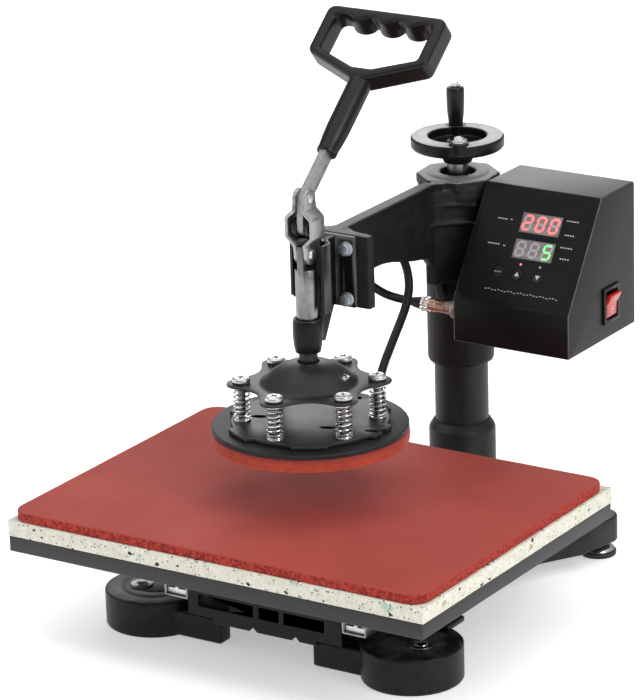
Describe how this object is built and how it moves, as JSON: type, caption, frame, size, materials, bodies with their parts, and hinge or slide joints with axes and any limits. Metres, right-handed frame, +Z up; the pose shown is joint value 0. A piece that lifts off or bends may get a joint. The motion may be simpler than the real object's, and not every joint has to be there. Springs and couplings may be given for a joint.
{
  "type": "heat press",
  "caption": "Swing-arm heat press: padded pull-out platen, round sprung heater lowered by a push-pull toggle with a D-shaped handle, height handwheel and temperature controller.",
  "frame": {"origin": "centre of the footprint of the overall box, on the floor", "axes": "+Z up, +Y towards the column at the back, +X towards the controller's side, so the operator stands at -Y"},
  "size_m": [0.3824, 0.4196, 0.4753],
  "materials": {
    "black_paint": "satin",
    "tray_paint": "satin",
    "bracket_paint": "gloss",
    "cast_arm": "satin paint",
    "column_paint": "satin",
    "zinc": "zinc plated",
    "chrome": "polished",
    "steel": "ground",
    "brass": "satin",
    "moulding": "gloss",
    "foot_rubber": "satin",
    "foam": "matt foam",
    "silicone": "matt",
    "red_plastic": "gloss",
    "display": "gloss",
    "cable": "matt",
    "board": "matt"
  },
  "bodies": {
    "base": {"leg_left": "black_paint", "leg_right": "black_paint", "front_foot_left": "foot_rubber", "front_foot_right": "foot_rubber", "cross_channel": "black_paint", "rear_beam": "black_paint", "rail_left": "zinc", "rail_right": "zinc", "column_socket": "black_paint", "column_post": "column_paint"},
    "rear_foot_left": {"rear_foot_left": "zinc"},
    "rear_foot_right": {"rear_foot_right": "zinc"},
    "platen": {"platen_tray": "tray_paint", "foam_pad": "foam", "silicone_mat": "silicone", "slide_left": "zinc", "slide_right": "zinc"},
    "swing_bush": {"swing_bush": "brass"},
    "arm": {"arm_casting": "cast_arm", "toggle_bracket": "bracket_paint", "guide_bush": "bracket_paint", "bracket_bolt_1": "zinc", "bracket_bolt_2": "zinc", "bracket_bolt_3": "zinc", "bracket_bolt_4": "zinc", "fulcrum_pin": "zinc", "box_shell": "black_paint", "box_cover": "black_paint", "power_inlet": "moulding", "display_unit": "display", "control_board": "board", "rocker_bezel": "moulding", "heater_connector": "brass", "box_mount": "black_paint", "heater_cable": "cable"},
    "button_set": {"button_set": "moulding"},
    "button_up": {"button_up": "moulding"},
    "button_down": {"button_down": "moulding"},
    "rocker": {"rocker": "red_plastic"},
    "handwheel": {"handwheel": "black_paint", "lift_screw": "steel", "knob_spindle": "chrome"},
    "spin_knob": {"spin_knob": "moulding"},
    "lever": {"lever_bar": "zinc", "d_grip": "moulding"},
    "link": {"link_plate_left": "zinc", "link_plate_right": "zinc", "link_pin": "zinc"},
    "plunger": {"plunger_rod": "steel", "spider_plate": "black_paint", "spring_1": "chrome", "spring_2": "chrome", "spring_3": "chrome", "spring_4": "chrome", "spring_5": "chrome", "spring_6": "chrome"},
    "heater": {"carrier_plate": "black_paint", "heater_plate": "black_paint", "silicone_disc": "silicone"}
  },
  "joints": [
    {"name": "rear_foot_left_turn", "type": "hinge", "parent": "base", "child": "rear_foot_left", "pos_m": [-0.1204, 0.1837, 0], "axis": [0, 0, 1], "continuous": true},
    {"name": "rear_foot_right_turn", "type": "hinge", "parent": "base", "child": "rear_foot_right", "pos_m": [0.1204, 0.1837, 0], "axis": [0, 0, 1], "continuous": true},
    {"name": "platen_slide", "type": "slide", "parent": "base", "child": "platen", "axis": [0, -1, 0], "range_m": [0, 0.15]},
    {"name": "arm_height", "type": "slide", "parent": "base", "child": "swing_bush", "axis": [0, 0, 1], "range_m": [0, 0.03], "stiffness_N_per_m": 100, "springref_m": 0.555},
    {"name": "arm_swing", "type": "hinge", "parent": "swing_bush", "child": "arm", "pos_m": [0, 0.169, 0.1563], "axis": [0, 0, 1], "range_deg": [-110, 110]},
    {"name": "handwheel_turn", "type": "hinge", "parent": "arm", "child": "handwheel", "pos_m": [0, 0.169, 0.3484], "axis": [0, 0, 1], "range_deg": [0, 3600]},
    {"name": "spin_knob_turn", "type": "hinge", "parent": "handwheel", "child": "spin_knob", "pos_m": [-0.01688, 0.195, 0.3484], "axis": [0, 0, 1], "continuous": true},
    {"name": "toggle_lever", "type": "hinge", "parent": "arm", "child": "lever", "pos_m": [0, -0.062, 0.333], "axis": [1, 0, 0], "range_deg": [0, 170]},
    {"name": "toggle_link", "type": "hinge", "parent": "lever", "child": "link", "pos_m": [0, -0.062, 0.356], "axis": [1, 0, 0], "range_deg": [-166, 0]},
    {"name": "plunger_slide", "type": "slide", "parent": "arm", "child": "plunger", "axis": [0, 0, -1], "range_m": [0, 0.0454], "deforming": ["heater_cable"]},
    {"name": "heater_float", "type": "slide", "parent": "plunger", "child": "heater", "axis": [0, 0, 1], "range_m": [0, 0.004], "stiffness_N_per_m": 5000, "springref_m": -0.004, "deforming": ["spring_1", "spring_2", "spring_3", "spring_4", "spring_5", "spring_6"]},
    {"name": "rocker_tip", "type": "hinge", "parent": "arm", "child": "rocker", "pos_m": [0.141, 0.1695, 0.225], "axis": [0, 1, 0], "range_deg": [-25, 0]},
    {"name": "button_set_press", "type": "slide", "parent": "arm", "child": "button_set", "axis": [0, 0.8319, -0.5549], "range_m": [0, 0.0008], "stiffness_N_per_m": 400, "springref_m": -0.0008},
    {"name": "button_up_press", "type": "slide", "parent": "arm", "child": "button_up", "axis": [0, 0.8319, -0.5549], "range_m": [0, 0.0008], "stiffness_N_per_m": 400, "springref_m": -0.0008},
    {"name": "button_down_press", "type": "slide", "parent": "arm", "child": "button_down", "axis": [0, 0.8319, -0.5549], "range_m": [0, 0.0008], "stiffness_N_per_m": 400, "springref_m": -0.0008}
  ],
  "couplings": [
    {"joint": "handwheel_turn", "follows": "arm_height", "rad_per_m": 2094.4},
    {"joint": "toggle_link", "follows": "toggle_lever", "ratio": -0.97},
    {"joint": "plunger_slide", "follows": "toggle_lever", "m_per_rad": 0.015167}
  ]
}
